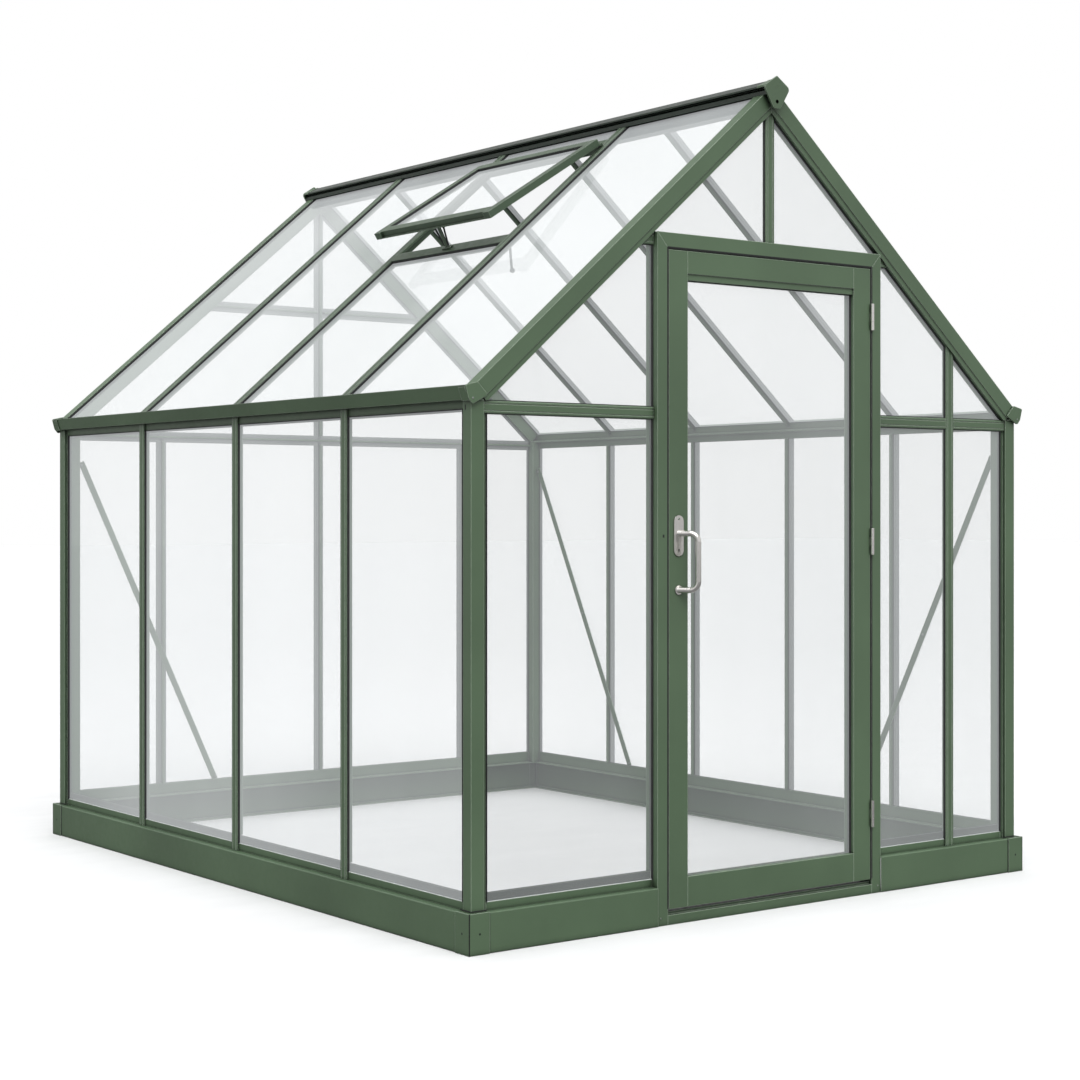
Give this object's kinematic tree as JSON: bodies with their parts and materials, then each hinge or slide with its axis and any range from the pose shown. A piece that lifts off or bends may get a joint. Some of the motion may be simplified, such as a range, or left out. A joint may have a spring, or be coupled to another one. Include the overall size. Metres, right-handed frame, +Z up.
{
  "type": "aluminium greenhouse",
  "caption": "Gabled glass greenhouse with an aluminium frame on a plinth, a hinged glazed door in one gable, gutters along the eaves and an open roof vent.",
  "frame": {"origin": "on the ground, at the centre of the ground plan's bounding box", "axes": "+Z up, -Y out of the front gable with the door, +Y along the ridge towards the back gable, +X to the right seen from the front"},
  "size_m": [2.19, 2.6584, 2.4248],
  "materials": {
    "green_frame": "satin sage-green powder coat",
    "glass": "clear toughened",
    "brushed_steel": "brushed stainless"
  },
  "bodies": {
    "house": {"back_collar": "green_frame", "back_glass": "glass", "back_posts": "green_frame", "back_transom": "green_frame", "back_wall_bars": "green_frame", "door_head": "green_frame", "door_jambs": "green_frame", "end_sills": "green_frame", "frame_hinges": "brushed_steel", "front_glass": "glass", "front_posts": "green_frame", "front_transoms": "green_frame", "front_wall_bar": "green_frame", "gutter_end_caps": "green_frame", "gutters": "green_frame", "head_stubs": "green_frame", "king_posts": "green_frame", "left_rakes": "green_frame", "left_roof_bars": "green_frame", "left_roof_glass": "glass", "left_wall_bars": "green_frame", "left_wall_glass": "glass", "plinth_corners": "green_frame", "plinth_ends": "green_frame", "plinth_sides": "green_frame", "ridge_bar": "green_frame", "ridge_end_caps": "green_frame", "right_rakes": "green_frame", "right_roof_bars": "green_frame", "right_roof_glass": "glass", "right_wall_bars": "green_frame", "right_wall_glass": "glass", "side_eave_rails": "green_frame", "side_sills": "green_frame", "threshold": "green_frame", "vent_bars": "green_frame", "vent_glass": "glass", "vent_hinge_roll": "green_frame", "vent_rails": "green_frame", "vent_stay": "green_frame", "vent_stiles": "green_frame", "wall_braces": "green_frame"},
    "door": {"door_stiles": "green_frame", "door_rails": "green_frame", "door_glass": "glass", "door_hinges": "brushed_steel", "pull_handle": "brushed_steel"}
  },
  "joints": [
    {"name": "door_hinge", "type": "hinge", "parent": "house", "child": "door", "pos_m": [0.4025, -1.28225, 1], "axis": [0, 0, 1], "range_deg": [0, 110]}
  ]
}
